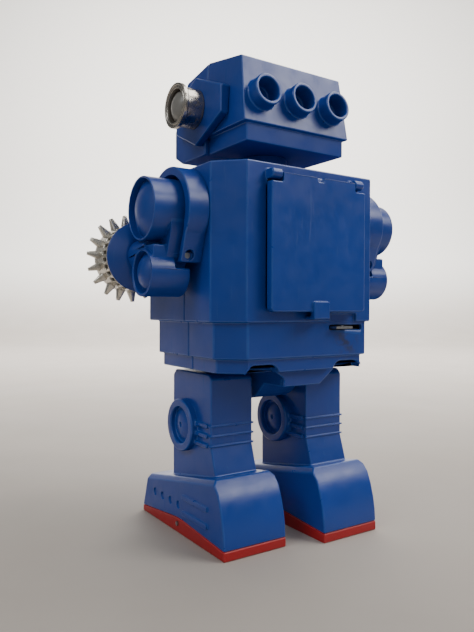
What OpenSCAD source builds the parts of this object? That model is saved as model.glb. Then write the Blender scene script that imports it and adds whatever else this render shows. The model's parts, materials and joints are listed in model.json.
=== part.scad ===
// Battery-powered walking toy robot, 25 cm tall.
// Row frame: Z up from the floor, the robot faces -Y, its left hand is on +X.
// Inside the modules Y is counted from the rear faces of the forward leg.

/* [Overall] */
// Wall thickness of the moulded shells
wall = 2.2; // [1.8:0.1:2.6]
// Half of the open seam between two shells
seam_gap = 0.15; // [0.1:0.05:0.3]
// Clearance between a moving piece and a fixed one
play = 0.4; // [0.3:0.05:0.6]
// Running clearance of a shaft in its hole, on the radius
run_fit = 0.05; // [0.02:0.01:0.08]

/* [Torso] */
// Half width of the chest tier
chest_half_w = 52.4; // [52:0.1:53]
// Back plane of the chest tier
chest_back = 31.0; // [30:0.1:32]
// Front plane of the chest tier
chest_front = -49.6; // [-50:0.1:-49]
// Top of the torso
torso_top = 190.0; // [189:0.5:192]
// Underside of the chest tier
chest_base = 113.9; // [113:0.1:115]
// Underside of the waist tier
waist_base = 96.2; // [95.5:0.1:97]
// Underside of the torso
torso_base = 89.2; // [88.8:0.1:89.6]
// Y of the seam between the torso's two shells
torso_seam = -7.0; // [-8:0.1:-6]

/* [Battery bay] */
// Half width of the battery door
door_half_w = 30.0; // [29:0.1:31]
// Lower edge of the battery door
door_base = 119.0; // [118.5:0.1:120]
// Upper edge of the battery door
door_top = 184.8; // [184:0.1:185.5]
// Outer face of the battery door
door_face = 37.0; // [36.5:0.1:37.5]
// Length of one C cell with its contacts
cell_l = 56.0; // [54:0.5:57]
// Diameter of one C cell
cell_d = 26.2; // [26:0.1:26.4]

/* [Head] */
// Underside of the head
head_base = 202.8; // [202:0.1:204]
// Height where the narrower jaw meets the skull
jaw_top = 211.9; // [211:0.1:213]
// Half width of the skull at its lower edge
skull_half_w = 34.0; // [33.5:0.1:34.5]
// Half width of the skull at its top
crown_half_w = 32.2; // [31.5:0.1:33]
// Half width of the jaw
jaw_half_w = 31.6; // [31:0.1:32]
// Y of the seam between the two head shells
head_seam = -18.0; // [-19:0.5:-17]
// Outer radius of the three tubes on the back of the head
tube_r = 7.9; // [7.5:0.1:8.1]
// Spacing of the tubes
tube_pitch = 22.5; // [22:0.1:23.5]
// How far the tubes stand out of the head
tube_out = 7.0; // [5:0.5:8]

/* [Arms] */
// Radius of the round shoulder pod
pod_r = 15.3; // [15:0.1:15.5]
// Height of the pod's axis
pod_z = 168.0; // [167:0.5:169]
// Y of the pod's axis
pod_y = -3.0; // [-4:0.5:-2]
// Outer end of the pod
pod_out = 78.0; // [77:0.5:79]
// X of the arm's pivot pin
pivot_x = 59.3; // [59:0.1:59.6]
// Height of the arm's pivot pin
pivot_z = 145.8; // [145.5:0.1:146.5]

/* [Hands] */
// X of the hand's axis
hand_x = 69.3; // [69:0.1:70.5]
// Height of the hand's axis
hand_z = 146.6; // [146:0.1:147]
// Radius over the tips of the spikes
spike_r = 22.9; // [22:0.1:23]
// Number of spikes round a hand
spike_count = 18; // [16:1:20]
// Rim radius of the forearm bell
bell_r = 17.6; // [17:0.1:18]

/* [Legs] */
// X of the leg's middle plane
leg_x = 28.0; // [27.5:0.1:28.5]
// Width of the leg
leg_w = 25.5; // [24.5:0.1:26]
// Depth of the leg
leg_d = 40.5; // [39:0.5:41]
// Top of the leg
leg_top = 86.7; // [86:0.1:87]
// Width of the foot
foot_w = 37.2; // [36.5:0.1:37.6]
// Y of the toe on the forward foot
toe_y = -68.5; // [-69:0.1:-68]
// Stride of one foot along the floor
stride = 7.8; // [7:0.1:8]

/* [Drive] */
// Module of the gears
gear_m = 0.75; // [0.75:0.05:0.75]
// Teeth of the two large gears
big_teeth = 40; // [40:4:40]
// Teeth of the two pinions
small_teeth = 10; // [10:2:10]
// Height of the crank shaft
crank_z = 108.5; // [108.4:0.1:109]

/* [Hidden] */
$fn = 64;
small = 0.01;                                  // keeps cut faces off each other
far = 400;                                     // longer than the robot
latch_out = 1.2;                               // latch tab beyond the door's face
seam_y = (-toe_y - door_face - latch_out) / 2; // centres the robot over the row origin
leg_back = 0;                                  // Y of the forward leg's rear face
leg_mid = leg_back - leg_d / 2;
crank_y = leg_mid + stride / 2;
gear_gap = gear_m * (big_teeth + small_teeth) / 2;
idler_z = crank_z + gear_gap;
motor_z = idler_z + gear_gap;

SIDES = [["left", 1], ["right", -1]];
SINGLE = [
    "torso_rear_shell", "torso_front_shell", "hip_housing", "neck_collar", "torso_screws",
    "battery_tray", "battery_contacts", "battery_springs", "battery_door",
    "switch_base", "switch_lever", "motor_leads",
    "head_rear_shell", "head_front_shell", "head_screws",
    "gearbox_left_plate", "gearbox_right_plate", "gearbox_spacers",
    "motor", "motor_pinion", "idler_gear", "crank_gear", "crank_shaft"
];
SIDED = [
    "ear_block", "ear_lamp", "lamp_lens",
    "arm_housing", "arm_pivot_pin", "arm_pod", "forearm_bell", "gear_hand", "hand_shaft",
    "leg_shell", "sole", "leg_screws", "leg_hanger", "foot_axle", "foot_rollers", "crank_arm"
];

BLUE = "#1f58a8";
RED = "#b3202c";
CHROME = "#a9a7a0";
STEEL = "#b9bcc0";
BRASS = "#c9a655";
BLACK = "#26282b";
IVORY = "#e6e0cd";

// ---------- Placing ----------

module placed() translate([0, seam_y, 0]) children();

module on_side(side) mirror([side < 0 ? 1 : 0, 0, 0]) children();

// the left leg is at the front end of its stride and the right leg at the rear end
module on_leg(side) on_side(side) translate([0, side < 0 ? stride : 0, 0]) children();

// stands a profile drawn in (y, z) up in its plane and gives it a width along X
module across(x0, x1) translate([x0, 0, 0]) rotate([90, 0, 90]) linear_extrude(x1 - x0) children();

// stands a profile drawn in (x, z) up and gives it a depth along Y
module along(y0, y1) translate([0, y1, 0]) rotate([90, 0, 0]) linear_extrude(y1 - y0) children();

module rod_x(r, x0, x1, y, z) translate([x0, y, z]) rotate([0, 90, 0]) cylinder(r = r, h = x1 - x0);
module rod_y(r, x, y0, y1, z) translate([x, y0, z]) rotate([-90, 0, 0]) cylinder(r = r, h = y1 - y0);
module rod_z(r, x, y, z0, z1) translate([x, y, z0]) cylinder(r = r, h = z1 - z0);
module block(low, high) translate(low) cube(high - low);

// ---------- Outlines ----------

// the line through a and b moved d to its left, as [normal, offset]
function side_line(a, b, d) =
    let(t = (b - a) / norm(b - a), n = [-t[1], t[0]]) [n, n * a + d];
function crossing(p, q) =
    let(det = p[0][0] * q[0][1] - p[0][1] * q[0][0])
    [(p[1] * q[0][1] - q[1] * p[0][1]) / det, (p[0][0] * q[1] - q[0][0] * p[1]) / det];
// a counter-clockwise outline moved inwards by d
function inset(points, d) =
    let(n = len(points))
    [for (i = [0:n - 1]) crossing(
        side_line(points[(i + n - 1) % n], points[i], d),
        side_line(points[i], points[(i + 1) % n], d))];

// points on an arc
function arc(centre, r, from, to, steps) =
    [for (i = [0:steps]) let(a = from + (to - from) * i / steps) centre + r * [cos(a), sin(a)]];

// an eight-sided plan: small chamfers at the front corners and 45 degree ones at the back
function tier_plan(half_w, front, back, c) = [
    [-half_w, front + 2], [-half_w + 5, front], [half_w - 5, front], [half_w, front + 2],
    [half_w, back - c], [half_w - c, back], [-half_w + c, back], [-half_w, back - c]
];

module rounded_rect(low, high, r) {
    hull()
        for (x = [low[0] + r, high[0] - r], z = [low[1] + r, high[1] - r])
            translate([x, z]) circle(r, $fn = 32);
}

// ---------- Torso ----------

waist_half_w = chest_half_w - 2.5;
hip_half_w = chest_half_w - 5.0;
waist_back = chest_back - 1.9;
waist_front = chest_front + 6.8;
floor_top = torso_base + wall;
// each tier: lower z, upper z, plan
TIERS = [
    [torso_base, waist_base, tier_plan(hip_half_w, waist_front + 0.8, waist_back - 2.1, 11.0)],
    [waist_base, chest_base, tier_plan(waist_half_w, waist_front, waist_back, 11.9)],
    [chest_base, torso_top, tier_plan(chest_half_w, chest_front, chest_back, 12.7)]
];

module torso_outside() {
    for (t = TIERS)
        translate([0, 0, t[0]]) linear_extrude(t[1] - t[0]) polygon(t[2]);
}

module torso_inside() {
    for (t = TIERS)
        translate([0, 0, t[0] + wall])
            linear_extrude(t[1] - t[0] - (t[1] == torso_top ? 2 * wall : 0)) polygon(inset(t[2], wall));
}

// the hands turn in a round hollow in each side of the chest
scoop_r = spike_r + 2.6;
scoop_back = -18.2;
module hand_scoops(extra = 0) {
    for (s = [-1, 1])
        rod_y(scoop_r + extra, s * hand_x, -far / 4, scoop_back + extra, hand_z);
}

// the pod swings into this window
pod_gap = 0.6;
module shoulder_window() {
    for (s = [-1, 1])
        on_side(s) {
            rod_x(pod_r + pod_gap, chest_half_w - 2 * wall, chest_half_w + small, pod_y, pod_z);
            block([chest_half_w - 2 * wall, pod_y - 11, pivot_z + 1], [chest_half_w + small, pod_y + 11, pod_z]);
            block([chest_half_w - 2 * wall, pod_y - 14.8, 150], [chest_half_w + small, pod_y + 14.8, pod_z]);
        }
}

// floor slots for the leg hangers
hanger_t = 1.6;
hanger_w = 12.0;
module hanger_slots() {
    for (s = [-1, 1])
        block([s * leg_x - 2.5, crank_y - hanger_w / 2 - stride / 2 - 1.5, torso_base - small],
              [s * leg_x + 2.5, crank_y + hanger_w / 2 + stride / 2 + 1.5, floor_top + small]);
}

// screws come in from the front; x, z of each
TORSO_SCREWS = [[-44, 120], [44, 120], [-38, 184], [38, 184]];
screw_r = 1.4;
boss_r = 3.5;
screw_head_y = torso_seam - 10;
module torso_bosses(front) {
    for (p = TORSO_SCREWS)
        if (front) rod_y(boss_r, p[0], chest_front + 1, torso_seam - seam_gap, p[1]);
        else rod_y(boss_r, p[0], torso_seam + seam_gap, chest_back - 1, p[1]);
}

module shell_cut(rear) {
    y0 = rear ? torso_seam + seam_gap : -far;
    y1 = rear ? far : torso_seam - seam_gap;
    block([-far, y0, 0], [far, y1, far]);
}

bay_half_w = cell_d + 2.2;
bay_base = 120.6;
bay_top = bay_base + cell_l + 5.2;
bay_front = 1.2;
tray_out = 1.5;                                // battery tray's mouth beyond the chest's back
neck_r = 13.0;
neck_y = -12.0;

module door_lugs() {
    for (s = [-1, 1])
        on_side(s) {
            rod_x(2.4, 23.6, 29.4, hinge_y, hinge_z);
            block([23.6, chest_back - small, hinge_z - 2.4], [29.4, hinge_y, hinge_z + 2.4]);
        }
}

// arched openings in the rear of the hip tier, one on each side of the hip housing
module hip_openings() {
    for (s = [-1, 1]) on_side(s) along(waist_back - 8, waist_back + 1)
        polygon(concat([[14.4, torso_base - 1], [17.4, torso_base]],
                       arc([23.0, torso_base - 1.4], 5.4, 160, 90, 4),
                       arc([32.0, torso_base - 1.4], 5.4, 90, 0, 5),
                       [[37.4, torso_base - 1]]));
}

module torso_rear_shell() {
    color(BLUE) placed() difference() {
        union() {
            difference() {
                intersection() { torso_outside(); shell_cut(true); }
                torso_inside();
            }
            intersection() {
                torso_bosses(false);
                torso_outside();
            }
            door_lugs();
        }
        block([-bay_half_w - small, 0, bay_base], [bay_half_w + small, chest_back + 5, bay_top]);
        for (s = [-1, 1]) on_side(s) rod_x(hinge_pin_r + run_fit, 23, 27.5, hinge_y, hinge_z);
        shoulder_window();
        hanger_slots();
        hip_openings();
        for (p = TORSO_SCREWS) rod_y(screw_r + run_fit, p[0], torso_seam, torso_seam + 12, p[1]);
        block([-35.8, waist_back - 4, 109.6], [-13.0, waist_back + 3, 112.2]);
        block([-29.7, chest_back - 1.6, chest_base - small], [-12, chest_back + 1, chest_base + 4.3]);
        rod_z(neck_r - 4, 0, neck_y, torso_top - 5, torso_top + 1);
    }
}

module torso_front_shell() {
    color(BLUE) placed() difference() {
        union() {
            difference() {
                intersection() { torso_outside(); shell_cut(false); }
                difference() { torso_inside(); hand_scoops(wall); }
            }
            intersection() {
                torso_bosses(true);
                torso_outside();
            }
            chest_relief();
        }
        hand_scoops();
        shoulder_window();
        hanger_slots();
        for (p = TORSO_SCREWS) {
            rod_y(3.0, p[0], chest_front - 1, screw_head_y, p[1]);
            rod_y(screw_r + 0.2, p[0], screw_head_y - 1, torso_seam + 1, p[1]);
        }
        rod_z(neck_r - 4, 0, neck_y, torso_top - 5, torso_top + 1);
    }
}

// raised panel, ribs and two dial bosses on the chest
module chest_relief() {
    along(chest_front - 1.6, chest_front + small) difference() {
        polygon([[-31, 124], [31, 124], [31, 180], [-31, 180]]);
        polygon([[-28, 127], [28, 127], [28, 177], [-28, 177]]);
    }
    for (x = [-14, 14]) rod_y(9.5, x, chest_front - 2.2, chest_front + small, 160);
    for (i = [0:4]) block([-24, chest_front - 1.2, 131 + 3.4 * i], [24, chest_front + small, 132.8 + 3.4 * i]);
}

module torso_screws() {
    color(STEEL) placed() for (p = TORSO_SCREWS) {
        rod_y(screw_r, p[0], screw_head_y - 1.6, torso_seam + 9, p[1]);
        rod_y(2.7, p[0], screw_head_y - 1.8, screw_head_y - 0.02, p[1]);
    }
}

// rounded housing between the legs, with a flared apron at the back
module hip_housing() {
    hip_w = 12.0;
    apron_y = 22.7;
    side = concat(
        [[apron_y - 2, torso_base], [-22, torso_base]],
        arc([-8, 84.5], 12.5, 205, 320, 8),
        [[6, 81.0], [apron_y - 2, 81.0]]);
    color(BLUE) placed() {
        difference() {
            across(-hip_w, hip_w) polygon(side);
            difference() {
                across(-hip_w + wall, hip_w - wall) polygon(inset(side, wall));
                block([-far, -far, torso_base - 1], [far, far, far]);
            }
            block([-hip_w + wall, -16, torso_base - 6], [hip_w - wall, 14, torso_base + 1]);
        }
        // flared on the right, cut back on the left
        along(apron_y - 2, apron_y)
            polygon([[-hip_w, 81.0], [hip_w, 81.0], [hip_w - 0.8, 85.6], [14.6, 87.5], [16.4, torso_base],
                     [-22.6, torso_base]]);
    }
}

module neck_collar() {
    color(BLUE) placed() difference() {
        union() {
            rod_z(neck_r, 0, neck_y, torso_top, head_base);
            rod_z(neck_r - 4.2, 0, neck_y, torso_top - 4, head_base + 5);
        }
        rod_z(neck_r - 6.4, 0, neck_y, torso_top - 5, head_base + 6);
    }
}

// ---------- Battery bay ----------

hinge_y = 34.6;
hinge_z = 184.2;
hinge_pin_r = 1.2;
tray_wall = 1.6;

module battery_tray() {
    color(BLACK) placed() difference() {
        block([-bay_half_w, bay_front, bay_base], [bay_half_w, chest_back + tray_out, bay_top]);
        for (s = [-1, 1]) {
            x = s * (cell_d / 2 + 0.6);
            block([x - cell_d / 2 - 0.3, bay_front + 15, bay_base + tray_wall],
                  [x + cell_d / 2 + 0.3, chest_back + 5, bay_top - tray_wall]);
            rod_z(cell_d / 2 + 0.3, x, bay_front + 15, bay_base + tray_wall, bay_top - tray_wall);
        }
        // recess for the contact strap that joins the two cells
        block([-20.1, bay_front + 8.9, bay_top - tray_wall - 0.6], [20.1, bay_front + 21.1, bay_top - tray_wall + 0.05]);
        rod_z(1.2, -bay_half_w + 3, 14, bay_base - 1, bay_base + 3);
        rod_z(1.2, bay_half_w - 3, 14, bay_base - 1, bay_base + 3);
    }
}

module battery_contacts() {
    low = bay_base + tray_wall;
    high = bay_top - tray_wall;
    color(BRASS) placed() {
        block([-20, bay_front + 9, high - 0.5], [20, bay_front + 21, high]);
        for (s = [-1, 1]) {
            x = s * (cell_d / 2 + 0.6);
            block([x - 7, bay_front + 9, low], [x + 7, bay_front + 21, low + 0.5]);
        }
        rod_z(2.5, cell_d / 2 + 0.6, bay_front + 15, high - 1.6, high - 0.5 + small);
    }
}

// one coil of round wire as a swept tube
function coil_point(r, pitch, a) = [r * cos(a), r * sin(a), pitch * a / 360];
module coil_spring(r, wire, pitch, turns) {
    sides = 8;
    rings = 12 * turns;
    points = [for (i = [0:rings]) let(a = i * 30, c = coil_point(r, pitch, a))
        for (k = [0:sides - 1]) let(b = 360 * k / sides)
            c + wire * [cos(b) * cos(a), cos(b) * sin(a), sin(b)]];
    walls = [for (i = [0:rings - 1]) for (k = [0:sides - 1]) let(n = (k + 1) % sides)
        [i * sides + k, i * sides + n, (i + 1) * sides + n, (i + 1) * sides + k]];
    ends = [[for (k = [sides - 1:-1:0]) k], [for (k = [0:sides - 1]) rings * sides + k]];
    polyhedron(points, concat([for (w = walls) [w[3], w[2], w[1], w[0]]], [for (e = ends) [for (k = [len(e) - 1:-1:0]) e[k]]]));
}

module battery_springs() {
    color(STEEL) placed()
        for (s = [-1, 1])
            translate([s * (cell_d / 2 + 0.6), bay_front + 15, bay_base + tray_wall + 0.5 + 0.46])
                coil_spring(5.0, 0.4, 1.5, 3);
}

module battery_door() {
    notch = 6.9;
    back = chest_back + tray_out + 0.2;
    rim = 1.8;
    color(BLUE) placed() difference() {
        union() {
            difference() {
                along(back, door_face) rounded_rect([-door_half_w, door_base], [door_half_w, door_top], 2);
                along(back - 1, door_face - rim)
                    rounded_rect([-door_half_w + rim, door_base + rim], [door_half_w - rim, hinge_z - 4], 1);
                for (s = [-1, 1]) on_side(s)
                    block([door_half_w - notch, 0, door_top - 4.4], [door_half_w + 1, far, door_top + 1]);
                block([-2, door_face - 1.4, door_top - 2.2], [2, door_face + 1, door_top + 1]);
                difference() {
                    block([-far, back - 1, hinge_z], [far, far, far]);
                    rod_x(door_face - hinge_y, -far, far, hinge_y, hinge_z);
                }
            }
            block([-5, door_face - rim, door_base - 3.6], [5, door_face + latch_out, door_base + 5]);
            block([-5, chest_back + 0.3, door_base - 3.6], [5, door_face, door_base - 2.2]);
            for (s = [-1, 1]) on_side(s) rod_x(hinge_pin_r, 22, 27.2, hinge_y, hinge_z);
        }
    }
}

// ---------- Switch and leads ----------

lever_x0 = -25.0;
lever_x1 = -13.6;
lever_z = 110.9;
module switch_base() {
    color(BLACK) placed() difference() {
        block([-37, 20.5, 106.5], [-11, waist_back - wall - 0.1, 115.5]);
        block([-36.1, 22, lever_z - 1.0], [-12.4, waist_back, lever_z + 1.0]);
    }
}

module switch_lever() {
    color(STEEL) placed() {
        block([lever_x0, 22.4, lever_z - 0.6], [lever_x1, waist_back + 4.4, lever_z + 0.6]);
        rod_z(0.9, (lever_x0 + lever_x1) / 2, waist_back + 2.4, lever_z - 0.6, lever_z + 1.1);
    }
}

// two insulated wires, straight between their bends
LEADS = [
    [[-12, 21.5, 105], [-12, 21.5, 100], [-12, 4, 100], [-24, 4, 100], [-24, -2, 100],
     [-24, -2, 128], [-24, -10, 128], [-24, -10, 141]],
    [[12, 8, 118.5], [12, 8, 100], [24, 8, 100], [24, -2, 100], [24, -2, 160], [-24, -2, 160], [-24, -19, 160], [-24, -19, 150]]
];
lead_r = 0.8;
module motor_leads() {
    color(RED) placed()
        for (route = LEADS)
            for (i = [0:len(route) - 1]) {
                translate(route[i]) sphere(lead_r, $fn = 24);
                if (i > 0) lead_run(route[i - 1], route[i]);
            }
}

// every run lies along one axis
module lead_run(a, b) {
    low = [min(a[0], b[0]), min(a[1], b[1]), min(a[2], b[2])];
    high = [max(a[0], b[0]), max(a[1], b[1]), max(a[2], b[2])];
    if (a[0] != b[0]) rod_x(lead_r, low[0], high[0], a[1], a[2]);
    else if (a[1] != b[1]) rod_y(lead_r, a[0], low[1], high[1], a[2]);
    else rod_z(lead_r, a[0], a[1], low[2], high[2]);
}

// ---------- Head ----------

head_top = 251.7;
skull_back = 19.9;
// side outline of the skull in (y, z)
SKULL_SIDE = [
    [-52.5, jaw_top - 4.5], [-44, head_base], [skull_back, head_base], [skull_back, jaw_top],
    [14.5, 245.6], [head_seam, head_top], [-41, 248], [-53, 223.3], [-56, 213.6]
];
// front outline in (x, z)
SKULL_FRONT = [
    [-skull_half_w, head_base], [skull_half_w, head_base], [skull_half_w, jaw_top],
    [crown_half_w, 245.6], [crown_half_w - 0.3, head_top + 1],
    [-crown_half_w + 0.3, head_top + 1], [-crown_half_w, 245.6], [-skull_half_w, jaw_top]
];
// plan with narrow chamfers at the front corners
SKULL_PLAN = [
    [-skull_half_w, -51.4], [-skull_half_w + 2.4, -56], [skull_half_w - 2.4, -56], [skull_half_w, -51.4],
    [skull_half_w, skull_back], [-skull_half_w, skull_back]
];

module skull(d = 0) {
    intersection() {
        across(-far / 4, far / 4) polygon(inset(SKULL_SIDE, d));
        along(-far / 4, far / 4) polygon(inset(SKULL_FRONT, d));
        translate([0, 0, head_base - 5]) linear_extrude(60) polygon(inset(SKULL_PLAN, d));
    }
}

// the jaw is set in under the skull at the sides and the back
module jaw_step() {
    difference() {
        block([-far / 4, head_seam, head_base - 1], [far / 4, far / 4, jaw_top]);
        block([-jaw_half_w, -far / 4, head_base - 2], [jaw_half_w, skull_back - 1.8, jaw_top + 1]);
    }
}

module head_solid(d = 0) {
    difference() {
        skull(d);
        if (d == 0) jaw_step();
    }
}

module head_hollow() {
    intersection() {
        skull(wall);
        union() {
            block([-far, -far, jaw_top + wall], [far, far, far]);
            block([-jaw_half_w + wall, -far, 0], [jaw_half_w - wall, skull_back - 1.8 - wall, jaw_top + wall + small]);
        }
    }
}

// the back of the skull leans forward
tube_lean = atan2(skull_back - 14.5, 245.6 - jaw_top);
module on_tube(i) translate([i * tube_pitch, 17.5, 226.6]) rotate([-90 + tube_lean, 0, 0]) children();

HEAD_SCREWS = [[-26, 207.5], [26, 207.5], [0, 240]];
module head_rear_shell() {
    color(BLUE) placed() difference() {
        union() {
            difference() {
                intersection() { head_solid(); block([-far, head_seam + seam_gap, 0], [far, far, far]); }
                head_hollow();
            }
            for (i = [-1:1]) on_tube(i) translate([0, 0, -3]) cylinder(r = tube_r, h = tube_out + 3);
            intersection() {
                for (p = HEAD_SCREWS) rod_y(boss_r - 0.5, p[0], head_seam + seam_gap, 16, p[1]);
                head_solid();
            }
        }
        for (i = [-1:1]) on_tube(i) translate([0, 0, -2.2]) cylinder(r = tube_r - 1.85, h = tube_out + 6);
        for (p = HEAD_SCREWS) rod_y(1.2 + run_fit, p[0], head_seam - 1, head_seam + 10, p[1]);
        rod_z(neck_r - 4, 0, neck_y, head_base - 1, head_base + 10);
    }
}

// a plain face: two round eyes, a nose bar and a grille
module head_front_shell() {
    eye_z = 231;
    color(BLUE) placed() difference() {
        union() {
            difference() {
                intersection() { head_solid(); block([-far, -far, 0], [far, head_seam - seam_gap, far]); }
                head_hollow();
            }
            for (s = [-1, 1]) rod_y(8.4, s * 14, -55.5, -48, eye_z);
            block([-20, -57.2, 210], [20, -52, 212]);
            intersection() {
                for (p = HEAD_SCREWS) rod_y(boss_r - 0.5, p[0], -52, head_seam - seam_gap, p[1]);
                head_solid();
            }
        }
        for (s = [-1, 1]) rod_y(6.6, s * 14, -56.5, -51, eye_z);
        for (i = [-3:3]) block([i * 5 - 1, -58, 214.5], [i * 5 + 1, -54.6, 219.5]);
        for (p = HEAD_SCREWS) {
            rod_y(2.4, p[0], -60, head_seam - 6, p[1]);
            rod_y(1.2 + 0.2, p[0], -40, head_seam + 1, p[1]);
        }
        rod_z(neck_r - 4, 0, neck_y, head_base - 1, head_base + 10);
    }
}

module head_screws() {
    color(STEEL) placed() for (p = HEAD_SCREWS) {
        rod_y(1.2, p[0], head_seam - 7, head_seam + 8, p[1]);
        rod_y(2.2, p[0], head_seam - 7.6, head_seam - 6.02, p[1]);
    }
}

// ---------- Ears ----------

ear_y = -21.0;
ear_z = 226.6;
ear_face = 38.5;
lamp_out = 50.8;
module ear_block() {
    outline = [[-43, 218], [ear_y, 207.5], [5, 219], [5, 233], [ear_y, 243.6], [-43, 233]];
    color(BLUE) placed() difference() {
        across(29, ear_face) polygon(outline);
        skull();
        rod_x(1.6, 20, ear_face + 1, ear_y, ear_z);
    }
}

module ear_lamp() {
    color(CHROME) placed() difference() {
        union() {
            rod_x(10.2, ear_face, lamp_out - 1, ear_y, ear_z);
            rod_x(11.7, lamp_out - 2.6, lamp_out, ear_y, ear_z);
        }
        rod_x(9.4, lamp_out - 4, lamp_out + 1, ear_y, ear_z);
        rod_x(8.2, ear_face + 1.6, lamp_out, ear_y, ear_z);
        rod_x(1.6, ear_face - 1, ear_face + 3, ear_y, ear_z);
        translate([ear_face + 6.5, ear_y, ear_z + 11]) rotate([90, 0, 0]) cylinder(r = 1.6, h = 4, center = true);
    }
}

module lamp_lens() {
    dome_r = 11.0;
    dome_h = 5.2;
    color(CHROME) placed() intersection() {
        translate([lamp_out - 1.2 - dome_r + 1, ear_y, ear_z]) sphere(dome_r);
        rod_x(9.3, lamp_out - 4, lamp_out + dome_h, ear_y, ear_z);
    }
}

// ---------- Arms ----------

housing_out = 63.5;
housing_r = 21.4;
mouth_r = 17.4;
housing_base = 142.5;
pin_r = 1.5;
arm_in = 57.3;                                 // inner face of the pod

// horseshoe outline in (y, z)
module housing_outline() {
    difference() {
        union() {
            translate([pod_y, pod_z]) circle(housing_r);
            polygon([[pod_y - housing_r, pod_z], [pod_y - 13.2, housing_base],
                     [pod_y + 13.2, housing_base], [pod_y + housing_r, pod_z]]);
        }
        translate([pod_y, pod_z]) circle(mouth_r);
        polygon([[pod_y - 17.2, pod_z - 2.5], [pod_y - 15.7, 157], [pod_y - 11.3, pivot_z],
                 [pod_y - 7.4, housing_base - 1], [pod_y + 7.4, housing_base - 1], [pod_y + 11.3, pivot_z],
                 [pod_y + 15.7, 157], [pod_y + 17.2, pod_z - 2.5]]);
    }
}

module arm_housing() {
    color(BLUE) placed() difference() {
        across(chest_half_w, housing_out) housing_outline();
        rod_y(pin_r + 0.02, pivot_x, -40, 40, pivot_z);
        rod_y(2.5, pivot_x, pod_y + 11.9, 40, pivot_z);
        // room for the forearm bell in front
        for (lift = [0, 2.1])
            translate([hand_x, 0, hand_z + lift]) rotate([-90, 0, 0]) rotate_extrude()
                polygon(concat([[0, bell_front - 3], [0, neck_front]], bell_flare(1.2),
                               [[bell_r + 1.2, bell_front - 3]]));
    }
}

module arm_pivot_pin() {
    color(STEEL) placed() rod_y(pin_r, pivot_x, pod_y - 12.4, pod_y + 11.8, pivot_z);
}

cuff_r = 11.6;
cuff_z = 137.7;
cuff_out = pod_out - 0.4;
ledge_x = 69.0;
neck_front = -18.5;
neck_r0 = 8.8;                                 // radius where the bell meets the pod
bell_front = -24.0;
dome_low = 3.6;                                // depth of the pocket round each dome
dome_rise = 1.0;                               // how far each dome stands proud of its rim

// a domed disc set in a round pocket; out is where the pocket's rim ends
module domed_end(r, rim, out, z) {
    base_r = r - rim - 0.3;
    high = dome_low + dome_rise;
    ball = (base_r * base_r + high * high) / (2 * high);
    edge = asin(base_r / ball);
    translate([out + dome_rise - ball, pod_y, z]) rotate([0, 90, 0]) rotate_extrude()
        polygon(concat([[0, ball - high - 1], [base_r, ball - high - 1]],
                       arc([0, 0], ball, 90 - edge, 90, 8)));
}

module arm_pod_outside() {
    rod_x(pod_r, arm_in, pod_out, pod_y, pod_z);
    rod_x(cuff_r, arm_in, cuff_out, pod_y, cuff_z);
    across(arm_in, ledge_x) polygon([
        [pod_y - 14.2, pod_z - 3], [pod_y - 13.6, 157], [pod_y - 9.6, pivot_z],
        [pod_y - 8.6, 139.5], [pod_y + 8.6, 139.5], [pod_y + 9.6, pivot_z],
        [pod_y + 13.6, 157], [pod_y + 14.2, pod_z - 3]]);
    block([arm_in, pod_y - 9.4, 138], [pod_out - 2.2, pod_y + 9.4, 150.6]);
    rod_y(8.6, hand_x, neck_front, pod_y, hand_z);
}

module arm_pod() {
    color(BLUE) placed() {
        difference() {
            arm_pod_outside();
            // room for the horseshoe's tips
            for (s = [-1, 1])
                across(0, housing_out + 1.6) translate([pod_y, 0]) mirror([s < 0 ? 1 : 0, 0]) polygon([
                    [6.2, 139.6], [20, 139.6], [20, 157], [14.2, 157], [9.9, pivot_z], [6.2, 141.2]]);
            // the neck's upper part swings in towards the horseshoe
            for (s = [-1, 1])
                across(0, housing_out + 2.9) translate([pod_y, 0]) mirror([s < 0 ? 1 : 0, 0])
                    polygon([[11.6, 150], [20, 150], [20, 157], [14.2, 157]]);
            rod_x(pod_r - 1.0, pod_out - dome_low, pod_out + 1, pod_y, pod_z);
            rod_x(cuff_r - 1.6, cuff_out - dome_low, cuff_out + 1, pod_y, cuff_z);
            rod_y(pin_r + run_fit, pivot_x, -40, 40, pivot_z);
            rod_y(3.6, hand_x, -40, pod_y + 5, hand_z);
            rod_x(pod_r - 2 * wall, arm_in - 1, pod_out - 9, pod_y, pod_z);
        }
        domed_end(pod_r, 1.0, pod_out, pod_z);
        domed_end(cuff_r, 1.6, cuff_out, cuff_z);
    }
}

// the flare widens quickly at first; d moves it outwards
function bell_flare(d) = [for (i = [0:6]) let(t = i / 6)
    [neck_r0 + d + (bell_r - neck_r0) * pow(t, 0.75), neck_front + (bell_front + 1 - neck_front) * t]];

module forearm_bell() {
    color(BLUE) placed() translate([hand_x, 0, hand_z]) rotate([-90, 0, 0]) difference() {
        rotate_extrude() polygon(concat(
            bell_flare(0),
            [[bell_r, bell_front], [bell_r - 1.8, bell_front], [bell_r - 1.8, bell_front + 1.4], [7.5, neck_front - 2], [3.6, neck_front - 2], [3.6, neck_front]]));
    }
}

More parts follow.
